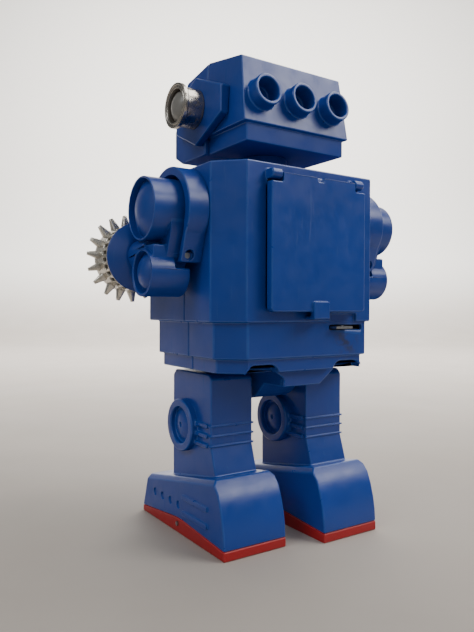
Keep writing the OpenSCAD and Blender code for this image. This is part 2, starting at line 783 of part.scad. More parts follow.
drum_r = 17.3;
slot_count = 30;
band_front = -41.0;
spike_y = -38.0;
spike_l = 5.8;
spike_turn = 4.6;                              // the first spike's angle above level
module gear_hand() {
    color(CHROME) placed() translate([hand_x, 0, hand_z]) rotate([-90, 0, 0]) difference() {
        union() {
            difference() {
                translate([0, 0, band_front - 1.2]) cylinder(r = drum_r, h = bell_front - 0.5 - band_front + 1.2);
                translate([0, 0, band_front - 2]) cylinder(r = drum_r - 3.4, h = 4.5);
                for (i = [0:slot_count - 1]) rotate([0, 0, i * 360 / slot_count])
                    translate([drum_r - 2.6, -0.85, bell_front - 6.6]) cube([4, 1.7, 5.4]);
            }
            for (i = [0:spike_count - 1]) rotate([0, 0, i * 360 / spike_count - spike_turn]) spike();
            translate([0, 0, band_front - 2.6]) cylinder(r = 6, h = 6);
        }
        translate([0, 0, band_front - 1]) cylinder(r = 2.5 + 0.02, h = 40);
    }
}

// a four-sided spike: a triangle seen from the front crossed with a triangle seen from the side
module spike() {
    root = spike_r - spike_l;
    intersection() {
        translate([0, 0, spike_y - 4]) linear_extrude(8)
            polygon([[root - 1.2, -2.2], [root, -2.2], [spike_r, -0.8], [spike_r, 0.8], [root, 2.2], [root - 1.2, 2.2]]);
        rotate([90, 0, 0]) translate([0, 0, -4]) linear_extrude(8)
            polygon([[root - 1.2, spike_y - 2.4], [root, spike_y - 2.4], [spike_r, spike_y - 0.8],
                     [spike_r, spike_y + 0.8], [root, spike_y + 2.4], [root - 1.2, spike_y + 2.4]]);
    }
}

module hand_shaft() {
    color(STEEL) placed() rod_y(2.5, hand_x, band_front - 0.98, pod_y + 4.6, hand_z);
}

// ---------- Legs ----------

foot_x0 = leg_x - foot_w / 2;
foot_x1 = leg_x + foot_w / 2;
leg_x0 = leg_x - leg_w / 2;
leg_x1 = leg_x + leg_w / 2;
heel_y = 22.2;
heel_z = 4.8;
instep_z = 36.6;
axle_y = -25.0;
axle_z = 4.9;
SOLE_TOP = [[toe_y, 3.4], [axle_y - 1.5, 8.0], [axle_y + 6, 8.0], [heel_y, heel_z]];
// side outline of the foot above the sole, in (y, z), counter-clockwise
HEEL = arc([-42, 3.6], 64.2, 1.1, 31, 5);
FOOT_SIDE = concat(SOLE_TOP, [HEEL[1], HEEL[2], HEEL[3], HEEL[4], [10.8, instep_z], [-62.2, 23.2]]);
ring_y = leg_mid - 6.7;
ring_z = 57.5;
ring_r = 14.0;
RIB_Z = [60.3, 55.2, 50.1];

module leg_outside() {
    bevel = 2.4;
    // shank, with a bevelled top
    across(leg_x0, leg_x1) polygon([
        [leg_back - leg_d, 24], [leg_back + 4.4, 30], [leg_back + 4.4, instep_z], [leg_back, 50],
        [leg_back, leg_top - bevel], [leg_back - bevel, leg_top],
        [leg_back - leg_d + bevel, leg_top], [leg_back - leg_d, leg_top - bevel]]);
    // foot, with bevelled upper edges
    intersection() {
        across(foot_x0, foot_x1) polygon(FOOT_SIDE);
        foot_bevels();
    }
}

// the foot's section, with bevelled upper edges, run along the sloping instep
module foot_bevels() {
    bevel_h = 2.6;
    bevel_w = 2.3;
    slope = atan2(instep_z - 23.2, 10.8 + 62.2);
    translate([0, 10.8, instep_z]) rotate([slope, 0, 0]) along(-far / 2, far / 4) polygon([
        [foot_x0 - small, -far / 2], [foot_x1 + small, -far / 2], [foot_x1 + small, -bevel_h],
        [foot_x1 - bevel_w, 0], [foot_x0 + bevel_w, 0], [foot_x0 - small, -bevel_h]]);
}

module leg_details() {
    // ring bosses on both sides, and the bars that tie them to the rear ribs
    for (s = [-1, 1]) {
        x0 = s > 0 ? leg_x1 - small : leg_x0 - 4;
        x1 = s > 0 ? leg_x1 + 4 : leg_x0 + small;
        difference() {
            rod_x(ring_r, x0, x1, ring_y, ring_z);
            rod_x(ring_r - 4.2, s > 0 ? leg_x1 + 1 : x0 - 1, s > 0 ? x1 + 1 : leg_x0 - 1, ring_y, ring_z);
        }
        translate([s > 0 ? leg_x1 + 1 : leg_x0 - 1, ring_y, ring_z]) rotate([0, s * 90, 0]) ring_dome();
        for (z = RIB_Z)
            block([s > 0 ? leg_x1 - small : leg_x0 - 1.4, ring_y + ring_r - 2, z - 1.1],
                  [s > 0 ? leg_x1 + 1.4 : leg_x0 + small, leg_back - 2.0, z + 1.1]);
    }
    // thin ribs wrapped round the rear face
    for (z = RIB_Z)
        block([leg_x0 - 0.8, leg_back - 1.6, z - 0.45], [leg_x1 + 0.8, leg_back + 0.8, z + 0.45]);
}

// low dome with a dimple at its centre, inside each ring boss
module ring_dome() {
    dome_r = 8.4;
    dome_h = 1.9;
    ball = (dome_r * dome_r + dome_h * dome_h) / (2 * dome_h);
    difference() {
        rotate_extrude() polygon(concat(
            [[0, -0.5], [dome_r, -0.5]],
            arc([0, dome_h - ball], ball, 90 - asin(dome_r / ball), 90, 8)));
        translate([0, 0, dome_h - 0.8]) cylinder(r = 1.3, h = 2);
    }
}

// row of dimples and two long ribs on the outer side of the foot
DIMPLE_Y = [for (i = [0:3]) -51.9 + 9.37 * i];
module foot_dimples() {
    for (y = DIMPLE_Y) rod_x(2.1, foot_x1 - 0.8, foot_x1 + 1, y, 15.3);
}
module foot_ribs() {
    for (z = [12.5, 21.0]) block([foot_x1 - small, -18.8, z - 1.3], [foot_x1 + 1.0, 7.1, z + 1.3]);
}

screw_post = [[leg_x, -57.5], [leg_x, 11]];
module leg_shell() {
    color(BLUE) difference() {
        union() {
            difference() {
                leg_outside();
                leg_hollow();
            }
            leg_details();
            foot_ribs();
            intersection() {
                for (p = screw_post) rod_z(3.5, p[0], p[1], 2.0, 33);
                leg_outside_tall();
            }
        }
        for (p = screw_post) rod_z(screw_r + run_fit, p[0], p[1], 0, 12);
        foot_dimples();
        block([leg_x - hanger_t / 2 - 0.05, leg_mid - hanger_w / 2 - 0.1, leg_top - 6],
              [leg_x + hanger_t / 2 + 0.05, leg_mid + hanger_w / 2 + 0.1, leg_top + 1]);
        rod_z(screw_r + run_fit, leg_x + 5.4, leg_mid, leg_top - 4, leg_top - 1);
    }
}

// the foot's envelope down to the sole's floor, for the screw posts
module leg_outside_tall() {
    across(foot_x0, foot_x1) polygon([[toe_y, 2], [heel_y, 2], [heel_y, 4.8], [10.8, instep_z - 1], [-62.2, 22.2]]);
}

module leg_hollow() {
    block([leg_x0 + wall, leg_back - leg_d + wall, 26], [leg_x1 - wall, leg_back - wall, leg_top - 3]);
    difference() {
        across(foot_x0 + wall, foot_x1 - wall) polygon(concat(
            [[toe_y + wall, -1], [heel_y - wall, -1]],
            [for (p = inset(concat([[toe_y, 0], [heel_y, 0]], [HEEL[1], HEEL[2], HEEL[3], HEEL[4]], [[10.8, instep_z], [-62.2, 23.2]]), wall)) if (p[1] > 5) p]));
        // keeps the bevelled edges as thick as the walls
        difference() {
            block([0, -far, 18], [2 * leg_x, far, far]);
            block([foot_x0 + 4.6, -far, 0], [foot_x1 - 4.6, far, far]);
        }
    }
}

module sole() {
    floor_t = 2.0;
    color(RED) difference() {
        across(foot_x0, foot_x1) polygon(concat([[heel_y + 0.2, 0], [heel_y, heel_z]], [SOLE_TOP[2], SOLE_TOP[1], SOLE_TOP[0]], [[toe_y, 0]]));
        difference() {
            block([foot_x0 + wall, toe_y + wall, floor_t], [foot_x1 - wall, heel_y - wall, 20]);
            for (s = [-1, 1]) block([leg_x + s * 9.4 - 1.5, axle_y - 4, 0], [leg_x + s * 9.4 + 1.5, axle_y + 4, 7.4]);
        }
        for (s = [-1, 1])
            block([leg_x + s * 13.6 - 2.4, axle_y - 6, -1], [leg_x + s * 13.6 + 2.4, axle_y + 6, 20]);
        rod_x(axle_r + 0.02, foot_x0 - 1, foot_x1 + 1, axle_y, axle_z);
        for (p = screw_post) {
            rod_z(2.9, p[0], p[1], -1, 0.9);
            rod_z(screw_r + 0.15, p[0], p[1], -1, 3);
        }
        // the walls stop where the screw posts stand on the floor
        for (p = screw_post) rod_z(3.6, p[0], p[1], floor_t, 20);
    }
}

module leg_screws() {
    color(STEEL) {
        for (p = screw_post) {
            rod_z(screw_r, p[0], p[1], 0.3, 10);
            rod_z(2.7, p[0], p[1], 0.25, 0.88);
        }
        rod_z(screw_r, leg_x + 5.4, leg_mid, leg_top - 6.2, leg_top - 1.3);
        rod_z(2.6, leg_x + 5.4, leg_mid, leg_top - 6.2, leg_top - 4.62);
    }
}

// steel strap that carries the leg; the crank pin's slot is at its top
module leg_hanger() {
    color(STEEL) difference() {
        union() {
            block([leg_x - hanger_t / 2, leg_mid - hanger_w / 2, leg_top - 4.6],
                  [leg_x + hanger_t / 2, leg_mid + hanger_w / 2, crank_z + 9]);
            block([leg_x - hanger_t / 2, leg_mid - hanger_w / 2, leg_top - 4.6],
                  [leg_x + 9.4, leg_mid + hanger_w / 2, leg_top - 3.02]);
        }
        for (z = [-4.2, 4.2]) rod_x(crank_pin_r + 0.2, 0, far, leg_mid, crank_z + z);
        block([0, leg_mid - crank_pin_r - 0.2, crank_z - 4.2], [far, leg_mid + crank_pin_r + 0.2, crank_z + 4.2]);
        rod_z(screw_r + 0.1, leg_x + 5.4, leg_mid, leg_top - 6, leg_top);
    }
}

axle_r = 1.1;
roller_r = 4.6;
module foot_axle() {
    color(STEEL) rod_x(axle_r, foot_x0 - 0.3, foot_x1 + 0.5, axle_y, axle_z);
}

module foot_rollers() {
    color(BLACK) for (s = [-1, 1]) {
        x = leg_x + s * 13.6;
        difference() {
            rod_x(roller_r, x - 1.9, x + 1.9, axle_y, axle_z);
            rod_x(axle_r + run_fit, x - 3, x + 3, axle_y, axle_z);
            for (i = [0:11]) translate([x, axle_y, axle_z]) rotate([i * 30, 0, 0])
                translate([-3, roller_r - 0.4, -0.5]) cube([6, 1, 1]);
        }
    }
}

// ---------- Drive ----------

crank_pin_r = 1.5;
shaft_r = 1.5;
plate_x = 20.0;
plate_t = 1.2;
crank_r = stride / 2;

// plain gear tooth: wide at the root, narrow at the tip, with backlash
module gear(teeth, thick, turn) {
    pitch_r = gear_m * teeth / 2;
    root_r = pitch_r - 1.25 * gear_m;
    tip_r = pitch_r + 0.9 * gear_m;
    half = 0.19 * 3.14159 * gear_m;
    rotate([90, 0, 90]) linear_extrude(thick) rotate(turn) union() {
        circle(root_r);
        for (i = [0:teeth - 1]) rotate(i * 360 / teeth)
            polygon([[root_r - 0.3, -1.75 * half], [root_r, -1.75 * half], [pitch_r, -half], [tip_r, -0.42 * half],
                     [tip_r, 0.42 * half], [pitch_r, half], [root_r, 1.75 * half], [root_r - 0.3, 1.75 * half]]);
    }
}

module plate(x) {
    difference() {
        block([x, crank_y - 19.0, floor_top], [x + plate_t, crank_y + 16.4, motor_z + 13]);
        for (z = [crank_z, idler_z, motor_z])
            rod_x(shaft_r + run_fit, x - 1, x + plate_t + 1, crank_y, z);
        for (p = SPACERS) rod_x(1.2, x - 1, x + plate_t + 1, p[0], p[1]);
        rod_x(6, x - 1, x + plate_t + 1, crank_y - 12, (crank_z + idler_z) / 2);
    }
}

SPACERS = [for (y = [crank_y - 16.5, crank_y + 14.0], z = [floor_top + 3.5, motor_z + 10.4]) [y, z]];

module gearbox_left_plate() { color(STEEL) placed() plate(plate_x); }
module gearbox_right_plate() { color(STEEL) placed() plate(-plate_x - plate_t); }

module gearbox_spacers() {
    color(STEEL) placed() for (p = SPACERS) difference() {
        rod_x(2.0, -plate_x, plate_x, p[0], p[1]);
        rod_x(1.0, -plate_x - 1, plate_x + 1, p[0], p[1]);
    }
}

motor_r = 10.0;
module motor() {
    color(CHROME) placed() {
        difference() {
            intersection() {
                rod_x(motor_r, -plate_x + 0.1, 4.0, crank_y, motor_z);
                block([-plate_x, crank_y - 20, motor_z - 7.6], [5, crank_y + 20, motor_z + 7.6]);
            }
            rod_x(1.0 + run_fit, -17, 5, crank_y, motor_z);
        }
        difference() {
            rod_x(3.0, 3.9, 5.4, crank_y, motor_z);
            rod_x(1.0 + run_fit, 3, 6, crank_y, motor_z);
        }
    }
}

// half a tooth of turn puts a tooth of one gear in a gap of the other
module motor_pinion() {
    color(BRASS) placed() {
        rod_x(1.0, -16, 14, crank_y, motor_z);
        translate([6.2, crank_y, motor_z]) gear(small_teeth, 5.6, 90 + 180 / small_teeth);
    }
}

module idler_gear() {
    color(IVORY) placed() {
        translate([7, crank_y, idler_z]) gear(big_teeth, 4, 90);
        translate([-8.2, crank_y, idler_z]) gear(small_teeth, 15.3, 90);
        rod_x(shaft_r, -plate_x - plate_t - 0.6, plate_x + plate_t + 0.6, crank_y, idler_z);
    }
}

module crank_gear() {
    color(IVORY) placed() difference() {
        translate([-7, crank_y, crank_z]) gear(big_teeth, 4, 90 + 180 / big_teeth);
        rod_x(shaft_r, -20, 20, crank_y, crank_z);
    }
}

module crank_shaft() {
    color(STEEL) placed() rod_x(shaft_r, -25.6, 25.6, crank_y, crank_z);
}

// disc with the off-centre pin that works one leg
module crank_arm(side) {
    color(BRASS) placed() on_side(side) difference() {
        union() {
            rod_x(7.6, plate_x + plate_t + 0.6, 25.6, crank_y, crank_z);
            rod_x(crank_pin_r, 25.5, leg_x - hanger_t / 2 - 0.5, crank_y - side * crank_r, crank_z);
        }
        rod_x(shaft_r, 0, 25.7, crank_y, crank_z);
    }
}

// ---------- Nodes ----------

torso_rear_shell();
torso_front_shell();
hip_housing();
neck_collar();
torso_screws();
battery_tray();
battery_contacts();
battery_springs();
battery_door();
switch_base();
switch_lever();
motor_leads();
head_rear_shell();
head_front_shell();
head_screws();
gearbox_left_plate();
gearbox_right_plate();
gearbox_spacers();
motor();
motor_pinion();
idler_gear();
crank_gear();
crank_shaft();
for (s = SIDES) {
    on_side(s[1]) ear_block();
    on_side(s[1]) ear_lamp();
    on_side(s[1]) lamp_lens();
    on_side(s[1]) arm_housing();
    on_side(s[1]) arm_pivot_pin();
    on_side(s[1]) arm_pod();
    on_side(s[1]) forearm_bell();
    on_side(s[1]) gear_hand();
    on_side(s[1]) hand_shaft();
    placed() on_leg(s[1]) leg_shell();
    placed() on_leg(s[1]) sole();
    placed() on_leg(s[1]) leg_screws();
    placed() on_leg(s[1]) leg_hanger();
    placed() on_leg(s[1]) foot_axle();
    placed() on_leg(s[1]) foot_rollers();
    crank_arm(s[1]);
}
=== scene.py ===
"""Looks of a battery-powered walking toy robot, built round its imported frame.

Metres, Z up, the robot faces -Y and its left side is on +X. Places come from the frame's boxes.
"""

import json
import math

import bmesh
import bpy
import numpy as np
from mathutils import Matrix, Vector


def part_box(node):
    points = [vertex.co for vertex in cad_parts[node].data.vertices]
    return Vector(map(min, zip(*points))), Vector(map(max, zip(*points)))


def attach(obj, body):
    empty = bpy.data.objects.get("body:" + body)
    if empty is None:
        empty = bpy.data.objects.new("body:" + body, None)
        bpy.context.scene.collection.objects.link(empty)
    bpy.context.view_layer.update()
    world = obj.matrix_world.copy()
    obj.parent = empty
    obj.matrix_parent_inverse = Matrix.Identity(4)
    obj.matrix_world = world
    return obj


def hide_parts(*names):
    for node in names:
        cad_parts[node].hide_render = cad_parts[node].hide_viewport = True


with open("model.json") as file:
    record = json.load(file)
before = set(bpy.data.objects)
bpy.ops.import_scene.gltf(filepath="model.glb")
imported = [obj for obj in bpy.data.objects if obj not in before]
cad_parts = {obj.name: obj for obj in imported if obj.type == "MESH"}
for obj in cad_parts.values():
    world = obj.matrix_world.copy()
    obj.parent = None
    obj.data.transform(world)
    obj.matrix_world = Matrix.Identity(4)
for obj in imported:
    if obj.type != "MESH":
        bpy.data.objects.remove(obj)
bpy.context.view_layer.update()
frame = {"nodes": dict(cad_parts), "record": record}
NODES = frame["nodes"]
BODY_OF = {n: b for b, group in frame["record"]["behaviour"]["bodies"].items() for n in group}
MM = 0.001
SIDES = {"left": 1.0, "right": -1.0}


# ---------- Measures taken from the frame ----------


def middle(node):
    """Centre of a node's box at rest, as an array."""
    low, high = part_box(node)
    return (np.array(low) + np.array(high)) / 2


def extent(node):
    """Lowest and highest corner of a node's box, as arrays."""
    low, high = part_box(node)
    return np.array(low), np.array(high)


# ---------- Materials ----------


def linear(colour):
    """Linear RGBA of an sRGB hex colour: each channel c becomes ((c + 0.055) / 1.055) to the power 2.4."""
    channels = [int(colour[i:i + 2], 16) / 255 for i in (1, 3, 5)]
    return [c / 12.92 if c <= 0.04045 else ((c + 0.055) / 1.055) ** 2.4 for c in channels] + [1.0]


def scaled(colour, share):
    """Linear RGBA of a hex colour, with its three channels scaled."""
    return [c * share for c in linear(colour)[:3]] + [1.0]


def put(finish, kind, settings=None, links=None):
    """Adds one shader node. Lower-case setting names are the node's own, others are inputs; links feed inputs."""
    made = finish.node_tree.nodes.new("ShaderNode" + kind)
    for name, value in (settings or {}).items():
        if isinstance(name, str) and name[0].islower():
            setattr(made, name, value)
        else:
            made.inputs[name].default_value = value
    for name, (source, output) in (links or {}).items():
        finish.node_tree.links.new(source.outputs[output], made.inputs[name])
    return made


def new_finish(name):
    """An empty node material with its output, and the Object coordinates that its patterns read."""
    finish = bpy.data.materials.new(name)
    finish.use_nodes = True
    finish.node_tree.nodes.clear()
    return finish, put(finish, "TexCoord")


def close_finish(finish, shader):
    """Joins the shader to the material's output."""
    put(finish, "OutputMaterial", links={"Surface": (shader, "BSDF")})
    return finish


def moulded_plastic(name, colour, worn, roughness, wear, stain=False):
    """Injection-moulded polystyrene: even colour, soft gloss, a faint skin texture from the polished mould.

    Handling leaves cloudy patches of other gloss 9 mm wide and hair scratches; wear (0 to 1) adds the paler
    rubbed colour of the raised edges.
    """
    finish, coords = new_finish(name)
    where = (coords, "Object")
    # cloudy tone of the pigment, 45 mm wide
    cloud = put(finish, "TexNoise", {"Scale": 1 / (45 * MM), "Detail": 3.0}, {"Vector": where})
    # patches of handling, 9 mm wide
    patch = put(finish, "TexNoise", {"Scale": 1 / (9 * MM), "Detail": 5.0, "Roughness": 0.62}, {"Vector": where})
    # scuffs: noise drawn out along Z, 1.2 mm wide
    stretched = put(finish, "Mapping", {"Scale": (1.0, 1.0, 0.07), "Rotation": (0.35, 0.5, 0.0)}, {"Vector": where})
    scuff = put(finish, "TexNoise", {"Scale": 1 / (1.2 * MM), "Detail": 2.0}, {"Vector": (stretched, "Vector")})
    scuff_mask = put(finish, "MapRange", {"From Min": 0.66, "From Max": 0.78, "To Max": 0.30},
                     {"Value": (scuff, "Fac")})
    shade = put(finish, "ValToRGB", links={"Fac": (cloud, "Fac")})
    shade.color_ramp.elements[0].position = 0.30
    shade.color_ramp.elements[0].color = scaled(colour, 0.90)
    shade.color_ramp.elements[1].position = 0.72
    shade.color_ramp.elements[1].color = scaled(colour, 1.08)
    rubbed = put(finish, "MapRange", {"From Min": 0.38, "From Max": 0.62, "To Min": 0.25 * wear, "To Max": wear},
                 {"Value": (patch, "Fac")})
    tone = put(finish, "Mix", {"data_type": "RGBA", 7: linear(worn)}, {0: (rubbed, "Result"), 6: (shade, "Color")})
    tone = put(finish, "Mix", {"data_type": "RGBA", 7: linear(worn)}, {0: (scuff_mask, "Result"), 6: (tone, 2)})
    if stain:
        tone = switch_grime(finish, where, tone)
    gloss = put(finish, "MapRange", {"From Min": 0.3, "From Max": 0.7, "To Min": roughness - 0.05,
                                     "To Max": roughness + 0.10}, {"Value": (patch, "Fac")})
    gloss = put(finish, "Math", {"operation": "ADD", "use_clamp": True},
                {0: (gloss, "Result"), 1: (scuff_mask, "Result")})
    # painted shade: faces that look down are made matt and mirror little, so that they stay as dark as in shade
    facing = put(finish, "SeparateXYZ", links={"Vector": (put(finish, "NewGeometry"), "True Normal")})
    under = put(finish, "MapRange", {"From Min": -0.6, "From Max": -0.9}, {"Value": (facing, "Z")})
    gloss = put(finish, "Math", {"operation": "MULTIPLY_ADD", "use_clamp": True, 1: 0.45},
                {0: (under, "Result"), 2: (gloss, 0)})
    shade_dimmed_mirror = put(finish, "MapRange", {"To Min": 0.5, "To Max": 0.05}, {"Value": (under, "Result")})
    # skin of the mould, 0.35 mm, and slow sink marks, 16 mm
    skin = put(finish, "TexNoise", {"Scale": 1 / (0.35 * MM), "Detail": 2.0}, {"Vector": where})
    sink = put(finish, "TexNoise", {"Scale": 1 / (16 * MM), "Detail": 1.0}, {"Vector": where})
    slow = put(finish, "Bump", {"Strength": 0.35, "Distance": 0.5 * MM}, {"Height": (sink, "Fac")})
    fine = put(finish, "Bump", {"Strength": 0.10, "Distance": 0.05 * MM},
               {"Height": (skin, "Fac"), "Normal": (slow, "Normal")})
    shader = put(finish, "BsdfPrincipled", {"IOR": 1.55}, {
        "Base Color": (tone, 2), "Roughness": (gloss, 0), "Specular IOR Level": (shade_dimmed_mirror, "Result"),
        "Normal": (fine, "Normal")})
    return close_finish(finish, shader)


def switch_grime(finish, where, tone):
    """Brown grime that years of use left under the switch: a soft patch of 11 mm round the slot, broken by noise."""
    low, high = extent("switch_base")
    centre = ((low[0] + high[0]) / 2, high[1], low[2] - 3 * MM)
    shifted = put(finish, "VectorMath", {"operation": "SUBTRACT", 1: centre}, {0: where})
    distance = put(finish, "VectorMath", {"operation": "LENGTH"}, {0: (shifted, "Vector")})
    near = put(finish, "MapRange", {"From Min": 12 * MM, "From Max": 3 * MM, "interpolation_type": "SMOOTHSTEP"},
               {"Value": (distance, "Value")})
    broken = put(finish, "TexNoise", {"Scale": 1 / (5 * MM), "Detail": 6.0}, {"Vector": where})
    broken = put(finish, "MapRange", {"From Min": 0.42, "From Max": 0.62, "To Max": 0.7}, {"Value": (broken, "Fac")})
    amount = put(finish, "Math", {"operation": "MULTIPLY"}, {0: (near, "Result"), 1: (broken, "Result")})
    return put(finish, "Mix", {"data_type": "RGBA", 7: linear("#2a2a30")}, {0: (amount, "Value"), 6: (tone, 2)})


def worn_plating(name, bright, tarnish, roughness):
    """Bright plating over cast metal, dulled with age: patchy gloss, dark grime in the hollows, pitted skin."""
    finish, coords = new_finish(name)
    where = (coords, "Object")
    patch = put(finish, "TexNoise", {"Scale": 1 / (4 * MM), "Detail": 7.0, "Roughness": 0.65}, {"Vector": where})
    pits = put(finish, "TexNoise", {"Scale": 1 / (0.7 * MM), "Detail": 3.0}, {"Vector": where})
    hollow = put(finish, "AmbientOcclusion", {"samples": 8, "Distance": 3.5 * MM})
    dirt = put(finish, "MapRange", {"From Min": 0.75, "From Max": 0.25}, {"Value": (hollow, "AO")})
    spots = put(finish, "MapRange", {"From Min": 0.52, "From Max": 0.68, "To Max": 0.75}, {"Value": (patch, "Fac")})
    dark = put(finish, "Math", {"operation": "MAXIMUM", "use_clamp": True},
               {0: (dirt, "Result"), 1: (spots, "Result")})
    tone = put(finish, "Mix", {"data_type": "RGBA", 6: linear(bright), 7: linear(tarnish)}, {0: (dark, "Value")})
    gloss = put(finish, "MapRange", {"To Min": roughness, "To Max": roughness + 0.35}, {"Value": (dark, "Value")})
    metal = put(finish, "MapRange", {"To Min": 1.0, "To Max": 0.55}, {"Value": (dark, "Value")})
    bump = put(finish, "Bump", {"Strength": 0.45, "Distance": 0.12 * MM}, {"Height": (pits, "Fac")})
    shader = put(finish, "BsdfPrincipled", None, {
        "Base Color": (tone, 2), "Roughness": (gloss, 0), "Metallic": (metal, 0), "Normal": (bump, "Normal")})
    return close_finish(finish, shader)


def turned_metal(name, colour, roughness, line=0.25):
    """Machined or rolled metal: clean colour with fine cutting lines, line mm apart."""
    finish, coords = new_finish(name)
    lines = put(finish, "Mapping", {"Scale": (0.12, 1.0, 1.0)}, {"Vector": (coords, "Object")})
    grain = put(finish, "TexNoise", {"Scale": 1 / (line * MM), "Detail": 2.0}, {"Vector": (lines, "Vector")})
    spots = put(finish, "TexNoise", {"Scale": 1 / (3 * MM), "Detail": 5.0}, {"Vector": (coords, "Object")})
    tone = put(finish, "Mix", {"data_type": "RGBA", 6: linear(colour), 7: scaled(colour, 0.6)}, {0: (spots, "Fac")})
    gloss = put(finish, "MapRange", {"To Min": roughness - 0.08, "To Max": roughness + 0.12},
                {"Value": (grain, "Fac")})
    bump = put(finish, "Bump", {"Strength": 0.2, "Distance": 0.03 * MM}, {"Height": (grain, "Fac")})
    shader = put(finish, "BsdfPrincipled", {"Metallic": 1.0},
                 {"Base Color": (tone, 2), "Roughness": (gloss, 0), "Normal": (bump, "Normal")})
    return close_finish(finish, shader)


def plain_polymer(name, colour, roughness, grain, ior):
    """Uncoated rubber or nylon: matt, with an even grain of that many millimetres."""
    finish, coords = new_finish(name)
    fine = put(finish, "TexNoise", {"Scale": 1 / (grain * MM), "Detail": 4.0}, {"Vector": (coords, "Object")})
    tone = put(finish, "Mix", {"data_type": "RGBA", 6: linear(colour), 7: scaled(colour, 0.78)}, {0: (fine, "Fac")})
    gloss = put(finish, "MapRange", {"To Min": roughness - 0.08, "To Max": roughness + 0.08},
                {"Value": (fine, "Fac")})
    bump = put(finish, "Bump", {"Strength": 0.3, "Distance": 0.08 * MM}, {"Height": (fine, "Fac")})
    shader = put(finish, "BsdfPrincipled", {"IOR": ior},
                 {"Base Color": (tone, 2), "Roughness": (gloss, 0), "Normal": (bump, "Normal")})
    return close_finish(finish, shader)


BLUE = moulded_plastic("blue_polystyrene", "#0a3a93", "#35619f", 0.33, 0.03, stain=True)
# finish of the rounded blue edges: a lighter colour as painted highlight, and more wear
BLUE_LIT_WORN_EDGE = moulded_plastic("blue_polystyrene_lit_worn_edge", "#0d419a", "#426fae", 0.30, 0.20)
RED = moulded_plastic("red_polystyrene", "#a80f18", "#85302c", 0.42, 0.10)
# finish of the rounded red edges: a lighter colour as painted highlight, and more wear
RED_LIT_WORN_EDGE = moulded_plastic("red_polystyrene_lit_worn_edge", "#b8161f", "#7a4a44", 0.45, 0.40)
BLACK = moulded_plastic("black_polystyrene", "#1d1f22", "#4a4c50", 0.42, 0.10)
PLATING = worn_plating("worn_plating", "#d6d2c8", "#4b443c", 0.20)
# painted shade: a darker copy of the plating, for the dim reflections that the lamps show
DIMMED_LAMP_PLATING = worn_plating("dimmed_lamp_plating", "#b0aba3", "#473c35", 0.22)
LENS = plain_polymer("frosted_lens", "#85837e", 0.24, 0.9, 1.5)
STEEL = turned_metal("zinc_steel", "#b9bcc0", 0.30)
BRASS = turned_metal("rolled_brass", "#c9a655", 0.28)
NYLON = plain_polymer("ivory_nylon", "#e6e0cd", 0.48, 0.8, 1.53)
RUBBER = plain_polymer("black_rubber", "#202124", 0.78, 0.5, 1.52)
INSULATION = plain_polymer("lead_insulation", "#b3202c", 0.45, 0.6, 1.53)
FINISH_OF_SLOT = {
    "blue_plastic": BLUE, "red_plastic": RED, "worn_chrome": PLATING, "zinc_steel": STEEL, "brass": BRASS,
    "black_plastic": BLACK, "ivory_nylon": NYLON, "black_rubber": RUBBER, "lead_insulation": INSULATION,
}


# ---------- Mesh helpers ----------


def adopt(piece, body, slot, *replaced):
    """Hands a finished piece to its body, in place of the nodes that it replaces. The slot argument is not used."""
    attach(piece, body)
    if replaced:
        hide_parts(*replaced)
    return piece


def smooth_object(name, mesh, *finishes):
    """An object with smooth faces and those materials."""
    for finish in finishes:
        mesh.materials.append(finish)
    mesh.shade_smooth()
    piece = bpy.data.objects.new(name, mesh)
    bpy.context.scene.collection.objects.link(piece)
    return piece


def crisp_normals(piece):
    """Normals weighted by face area, so that flat walls stay flat beside their rounded edges."""
    weighted = piece.modifiers.new("normals", "WEIGHTED_NORMAL")
    weighted.keep_sharp = True
    weighted.weight = 50


def moulded_copy(node, radius, flat, edge, curve=0.0):
    """A node's solid with the rounded edges that a mould gives it.

    Its triangles are merged into flat faces. Each edge that turns more than 17 degrees is then rounded by the
    given radius in millimetres, or by 0.36 of the room beside it where that is less. Edges along X that turn
    less than curve degrees stay smooth.
    """
    bm = bmesh.new()
    bm.from_mesh(NODES[node].data)
    bmesh.ops.remove_doubles(bm, verts=bm.verts, dist=0.002 * MM)
    bmesh.ops.dissolve_limit(bm, angle_limit=math.radians(0.6), verts=bm.verts, edges=bm.edges)
    bm.normal_update()
    bm.faces.index_update()
    bm.edges.index_update()
    weight = bm.edges.layers.float.new("bevel_weight_edge")
    turn = [e.calc_face_angle(0.0) if len(e.link_faces) == 2 else 0.0 for e in bm.edges]
    level = [abs((e.verts[0].co - e.verts[1].co).normalized().x) > 0.999 for e in bm.edges]
    creased = [angle > math.radians(curve if along_x and curve else 17.0) for angle, along_x in zip(turn, level)]
    room = {}
    for flat_region in flat_regions(bm, turn):
        measure_room(flat_region, creased, room)
    share = {k: min(1.0, 0.36 * r / (radius * MM)) for k, r in room.items()}
    for chain in smooth_chains(bm, creased):
        least = min(share[k] for k in chain)
        for k in chain:
            bm.edges[k][weight] = least
    mesh = bpy.data.meshes.new(node + "_moulded")
    bm.to_mesh(mesh)
    bm.free()
    piece = smooth_object(node + "_moulded", mesh, flat, edge)
    rounding = piece.modifiers.new("rounding", "BEVEL")
    rounding.limit_method = "WEIGHT"
    rounding.width = radius * MM
    rounding.segments = 2
    rounding.use_clamp_overlap = False
    # the rounded edges take the second finish: painted highlight along them, and wear
    rounding.material = 1
    rounding.miter_outer = "MITER_ARC"
    crisp_normals(piece)
    return piece


def flat_regions(bm, turn):
    """Groups of faces that lie in one plane: joined by edges that turn less than 1 degree."""
    bm.faces.ensure_lookup_table()
    bm.edges.ensure_lookup_table()
    seen = set()
    for first in bm.faces:
        if first.index in seen:
            continue
        seen.add(first.index)
        region, waiting = [], [first]
        while waiting:
            face = waiting.pop()
            region.append(face)
            for line in face.edges:
                if turn[line.index] < math.radians(1.0):
                    for other in line.link_faces:
                        if other.index not in seen:
                            seen.add(other.index)
                            waiting.append(other)
        yield region


